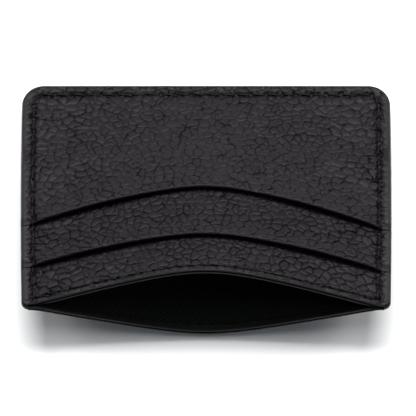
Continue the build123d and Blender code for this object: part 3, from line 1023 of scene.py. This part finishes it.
# ---------------------------------------------------------------- cloth
def cloth_sheet(name, node, mat, front, curves, nx, off_fn, thick, q_in, relief=None):
    sg = 1.0 if front else -1.0
    nx = int(nx * DENS)
    us = np.linspace(-1, 1, nx + 1)
    x, s = plan_grid(curves, us, q_in)
    base = wall(x, s, front) + off_fn(x, s)
    rel = relief(x, s) if relief else 0.0
    a = world(x, s, sg * (base + rel))
    b = world(x, s, sg * (base + thick))
    m, n = x.shape
    up = not front
    # the face towards the cavity is a, the other is b
    q1 = grid_quads(m, n, 0, flip=up)
    q2 = grid_quads(m, n, m * n, flip=not up)
    r = ring_indices(m, n)
    r2 = np.roll(r, -1)
    walls = np.stack([r, r2, r2 + m * n, r + m * n], -1)
    if up:
        walls = walls[:, ::-1]
    quads = np.concatenate([q1, q2, walls])
    verts = np.concatenate([a.reshape(-1, 3), b.reshape(-1, 3)])
    ob = new_object(name, verts, {"quads": quads}, [mat],
                    {"px": np.tile(x.reshape(-1), 2), "ps": np.tile(s.reshape(-1), 2)})
    finish_piece(ob, node)
    # flat size of the cloth
    du = np.linalg.norm(np.diff(b, axis=1), axis=2).sum(1).max()
    dv = np.linalg.norm(np.diff(b, axis=0), axis=2).sum(0).max()
    e1 = b[:-1, 1:] - b[:-1, :-1]
    e2 = b[1:, :-1] - b[:-1, :-1]
    area = float(np.linalg.norm(np.cross(e1, e2), axis=2).sum())
    area = min(area, float(du * dv) * 0.999)
    print("SHEET", name, round(float(du) * 1000, 1), round(float(dv) * 1000, 1), round(area * 1e6))
    return ob


for front in (True, False):
    side = "front" if front else "back"
    cutm = CUT[front]
    cloth_sheet(f"{side}_pocket_lining_twill", f"{side}_pocket_lining", TWILL, front,
                [(lambda x: 0 * x + 0.4, None), (lambda x: 0 * x + 5.8, [i / 5 for i in range(5)]),
                 (lambda x: 0 * x + 34.0, [i / 40 for i in range(40)]),
                 (lambda x: cutm(x) - FACING_SHOW + 0.25, [i / 120 for i in range(120)])],
                300, lambda x, s: O_LINING + 0 * x, T_LINING, 0.9, relief=None)
    cloth_sheet(f"{side}_middle_slot_lining_cloth", f"{side}_middle_slot_lining", PLAIN, front,
                [(lambda x: 0 * x + 0.5, None), (lambda x: 0 * x + 5.8, [i / 5 for i in range(5)]),
                 (lambda x: cut_middle(x) - 0.12, [i / 60 for i in range(60)])],
                160, lambda x, s: O_MID_LINING + off_middle(x, s, front), T_SLOT_LINING, 0.9)
    cloth_sheet(f"{side}_outer_slot_lining_cloth", f"{side}_outer_slot_lining", PLAIN, front,
                [(lambda x: 0 * x + 0.5, None), (lambda x: 0 * x + 5.8, [i / 5 for i in range(5)]),
                 (lambda x: cut_outer(x) - 0.12, [i / 48 for i in range(48)])],
                160, lambda x, s: off_outer(x, s, front), T_SLOT_LINING, 0.9)

for side in ("front", "back"):
    ob = frame["nodes"][f"{side}_stiffener"] if isinstance(frame["nodes"], dict) else bpy.data.objects[f"{side}_stiffener"]
    ob = bpy.data.objects[ob] if isinstance(ob, str) else ob
    ob.data.materials.clear()
    ob.data.materials.append(BOARD)


# -------------------------------------------------- painted rim of the body
def rim_path():
    """Points (x, s) and outward normals along the painted outline."""
    pts = []
    step = 0.16 / DENS
    w_m = float(half_width(np.array(HEIGHT - RM))) + PAINT
    # left mouth corner
    n = 16
    for i in range(n):
        a = math.pi / 2 * i / n
        pts.append((-(w_m - RM) - RM * math.sin(a), HEIGHT - RM + RM * math.cos(a), -math.sin(a), math.cos(a)))
    s = HEIGHT - RM
    while s > RC - PAINT:
        pts.append((-(float(half_width(np.array(s))) + PAINT), s, -1.0, 0.0))
        s -= step
    n = 40
    w0 = WIDTH / 2 + PAINT
    for i in range(n):
        a = math.pi / 2 * i / n
        pts.append((-(w0 - RC) - RC * math.cos(a), RC - PAINT - RC * math.sin(a), -math.cos(a), -math.sin(a)))
    x = -(w0 - RC)
    while x < 0:
        pts.append((x, -PAINT, 0.0, -1.0))
        x += step * 1.6
    left = np.array(pts)
    right = left[::-1].copy()
    right[:, 0] *= -1
    right[:, 2] *= -1
    return np.concatenate([left, right])


def rim_height(x, s, front):
    """Top of the stack under the rim, stepping down at each slot's end."""
    a = off_outer(x, s, front) + OUT_STACK
    ca, cb = cut_outer(x), cut_middle(x)
    a = a - (O_OUT_HIGH + OUT_STACK - O_MID_TOP - 0.10) * (1 - smooth((ca - s) / 2.6))
    b = O_MID_TOP - (O_MID_TOP - O_BASE_TOP - 0.10) * (1 - smooth((cb - s) / 2.6))
    k1 = smooth((s - ca) / 0.8 + 0.5)
    k2 = smooth((s - cb) / 0.8 + 0.5)
    h = a * (1 - k1) + b * k1
    h = h * (1 - k2) + O_BASE_TOP * k2
    tick = np.exp(-((s - ca - 0.22) / 0.16) ** 2) + np.exp(-((s - cb - 0.22) / 0.16) ** 2)
    return h, tick


P = rim_path()
px, ps, ox, os_ = P[:, 0], P[:, 1], P[:, 2], P[:, 3]
phis = np.linspace(math.pi / 2, -math.pi / 2, 27)
secs = []
for f in phis:
    qd = NOSE * (1 - max(1 - abs(math.sin(f)) ** 2.5, 0.0) ** 0.4)
    x, s = px - ox * qd, ps - os_ * qd
    up = f >= 0
    h, tick = rim_height(x, s, up)
    w = wall(x, s, up)
    sn = abs(math.sin(f))
    wob = 0.02 * value_noise(px, ps, 91, 2.2) + 0.012 * value_noise(px, ps, 93, 0.8)
    n = (w + h) * sn * (1.0 if up else -1.0)
    n = n - (1 if up else -1) * tick * 0.03 * smooth((sn - 0.80) / 0.20)
    lift = 0.012 * (1 - sn ** 6)
    secs.append(world(x + ox * (lift + wob * 0.6), s + os_ * (lift + wob * 0.6), n))
for up in (False, True):
    qd = NOSE + 0.15
    x, s = px - ox * qd, ps - os_ * qd
    h, tick = rim_height(x, s, up)
    n = (wall(x, s, up) + h - 0.25) * (1.0 if up else -1.0)
    secs.append(world(x, s, n))
sec = np.stack(secs, 1)
v, q, t = sweep_mesh(sec)
nring = sec.shape[1]
# The rim's last 2 mm at each mouth corner takes the darker edge paint, in part as painted shade of the recessed
# corner.
dark_end = (ps > HEIGHT - 2.0)
fm = np.concatenate([np.repeat(dark_end[:-1], nring), np.ones(len(t), bool)]).astype(int)
finish_piece(new_object("perimeter_edge_paint_rim", v, {"quads": q, "tris": t}, [RIM_PAINT, PAINTED],
                        face_mat=fm), "perimeter_edge_paint")


# ------------------------------------------------------------------- threads
def top_of_stack(x, s, front):
    x, s = np.asarray(x, float), np.asarray(s, float)
    w = wall(x, s, front)
    a = off_outer(x, s, front) + OUT_STACK
    b = off_middle(x, s, front) + O_MID_TOP
    return w + np.where(s < cut_outer(x), a, np.where(s < cut_middle(x), b, O_BASE_TOP))


for front, name, node in ((True, "perimeter_upper_thread", "perimeter_top_thread"),
                          (False, "perimeter_lower_thread", "perimeter_bobbin_thread")):
    sg = 1.0 if front else -1.0
    rng = np.random.default_rng(7 if front else 8)
    lines = []
    pitch = TOTAL / N_PERIM
    spans = [(k * pitch, (k + 1) * pitch, 0.0) for k in range(N_PERIM)]
    # back-stitching at both ends of the seam
    for k in (0, 1, N_PERIM - 2, N_PERIM - 1):
        spans.append((k * pitch + 0.5, (k + 1) * pitch - 0.4, 0.34))
    for a, b, off in spans:
        m = 13
        pts = []
        slant = 0.24 * (1 if front else -1)
        jit = (rng.random(2) - 0.5) * 0.24
        for i in range(m):
            t = i / (m - 1)
            x, s, tx, ts = seam_point(a + 0.22 + (b - a - 0.44) * t)
            lx, ls = -ts, tx
            side_off = slant * (2 * t - 1) + jit[0] + off
            x2, s2 = x + lx * side_off, s + ls * side_off
            n = float(top_of_stack(x2, s2, front))
            arch = 1 - (2 * t - 1) ** 4
            pts.append((x2, s2, n - 0.56 + 0.34 * arch + (0.12 if off else 0.0)))
        pts = np.array(pts)
        # a thread crossing a step stays on the higher leather
        n = pts[:, 2]
        base = np.maximum.accumulate(n[::-1])[::-1] * 0 + n
        jump = np.abs(np.diff(n)).max()
        if jump > 0.35:
            ks = np.argmax(np.abs(np.diff(n)))
            ramp_n = np.interp(np.arange(m), [0, ks - 1, ks + 2, m - 1], [n[0], n[max(ks - 1, 0)], n[min(ks + 2, m - 1)], n[-1]])
            n = np.maximum(n, ramp_n)
        lines.append(world(pts[:, 0], pts[:, 1], sg * n))
    v, q, t = tube_mesh(lines, 0.00023, sides=12, ply=0.14, turns=2.4, seed=3)
    finish_piece(new_object(name, v, {"quads": q, "tris": t}, [THREAD]), node)

for front in (True, False):
    side = "front" if front else "back"
    sg = 1.0 if front else -1.0
    hol = mouth_holes(front)
    lines = []
    rng = np.random.default_rng(17 if front else 18)
    for k in range(len(hol) - 1):
        xa, xb = hol[k][0], hol[k + 1][0]
        for face in ("out", "in"):
            m = 9
            jit = (rng.random(2) - 0.5) * 0.12
            pts = []
            for i in range(m):
                t = i / (m - 1)
                x = xa + 0.2 + (xb - xa - 0.4) * t
                s = float(CUT[front](np.array(x))) - MOUTH_STITCH_IN + 0.13 * (2 * t - 1) + jit[0]
                arch = 1 - (2 * t - 1) ** 4
                w = float(wall(np.array(x), np.array(s), front))
                if face == "out":
                    n = w + O_BASE_TOP - 0.26 + 0.22 * arch
                else:
                    n = w - 0.30 + 0.22 - 0.26 * arch
                pts.append((x, s, n))
            pts = np.array(pts)
            lines.append(world(pts[:, 0], pts[:, 1], sg * pts[:, 2]))
    v, q, t = tube_mesh(lines, 0.00017, sides=8, ply=0.12, turns=2.0, seed=4)
    finish_piece(new_object(f"{side}_mouth_stitch_thread", v, {"quads": q, "tris": t}, [THREAD]),
                 f"{side}_mouth_stitching")

# --------------------------------------------------- floor, lights and camera
def floor_material():
    m, nt, bs = nodes_of("studio_floor")
    bs.inputs["Base Color"].default_value = (0.93, 0.93, 0.93, 1)
    bs.inputs["Roughness"].default_value = 0.6
    bs.inputs["Specular IOR Level"].default_value = 0.2
    return m


bpy.ops.mesh.primitive_plane_add(size=6.0, location=(0, 0, -0.0002))
floor = bpy.context.object
floor.name = "studio_floor"
floor.data.materials.append(floor_material())

w = bpy.data.worlds.new("studio")
bpy.context.scene.world = w
w.use_nodes = True
bg = w.node_tree.nodes["Background"]
bg.inputs["Color"].default_value = (0.88, 0.95, 1.0, 1)
bg.inputs["Strength"].default_value = 0.10


def area_light(name, loc, target, size, power, color=(1, 1, 1)):
    li = bpy.data.lights.new(name, "AREA")
    li.shape = "RECTANGLE"
    li.size, li.size_y = size
    li.energy = power
    li.color = color
    ob = bpy.data.objects.new(name, li)
    ob.location = loc
    d = Vector(target) - Vector(loc)
    ob.rotation_euler = d.to_track_quat("-Z", "Y").to_euler()
    bpy.context.collection.objects.link(ob)
    return ob


area_light("upper_strip", (0.0, 0.38, 1.00), (0, 0, 0), (0.95, 0.24), 8.5)
area_light("rear_softbox", (0.0, 0.52, 0.90), (0, 0, 0), (0.95, 0.36), 8.5)
area_light("overhead_softbox", (0.0, 0.05, 1.10), (0, 0, 0), (1.1, 0.5), 3.2)
area_light("rear_left_softbox", (-0.75, 0.55, 0.55), (0, 0, 0), (0.4, 0.4), 2.8)
area_light("rear_right_softbox", (0.75, 0.55, 0.55), (0, 0, 0), (0.4, 0.4), 4.0)
area_light("right_fill", (0.85, -0.40, 0.45), (0, 0, 0), (0.4, 0.4), 0.9, (0.80, 0.90, 1.0))

ELEV = 57.2 + math.degrees(TILT)
DIST = 1.150
F_PX = 4.290e3
centre = Vector([float(v) for v in world(np.array(0.0), np.array(HEIGHT / 2), np.array(0.0))])
e = math.radians(ELEV)
look = Vector((0, math.cos(e), -math.sin(e)))
up = Vector((0, math.sin(e), math.cos(e)))
right = Vector((1, 0, 0))
scale = F_PX / (DIST * 1000)
off_x, off_y = (208 - 206.1) / scale / 1000, -(208 - 197.1) / scale / 1000
cam_data = bpy.data.cameras.new("camera")
cam_data.sensor_width = 36.0
cam_data.lens = F_PX * 36.0 / 416.0
cam_data.clip_start, cam_data.clip_end = 0.05, 20.0
cam = bpy.data.objects.new("camera", cam_data)
cam.location = centre - look * DIST + right * off_x + up * off_y
cam.rotation_euler = look.to_track_quat("-Z", "Y").to_euler()
bpy.context.collection.objects.link(cam)
bpy.context.scene.camera = cam
bpy.context.scene.view_settings.view_transform = "Standard"
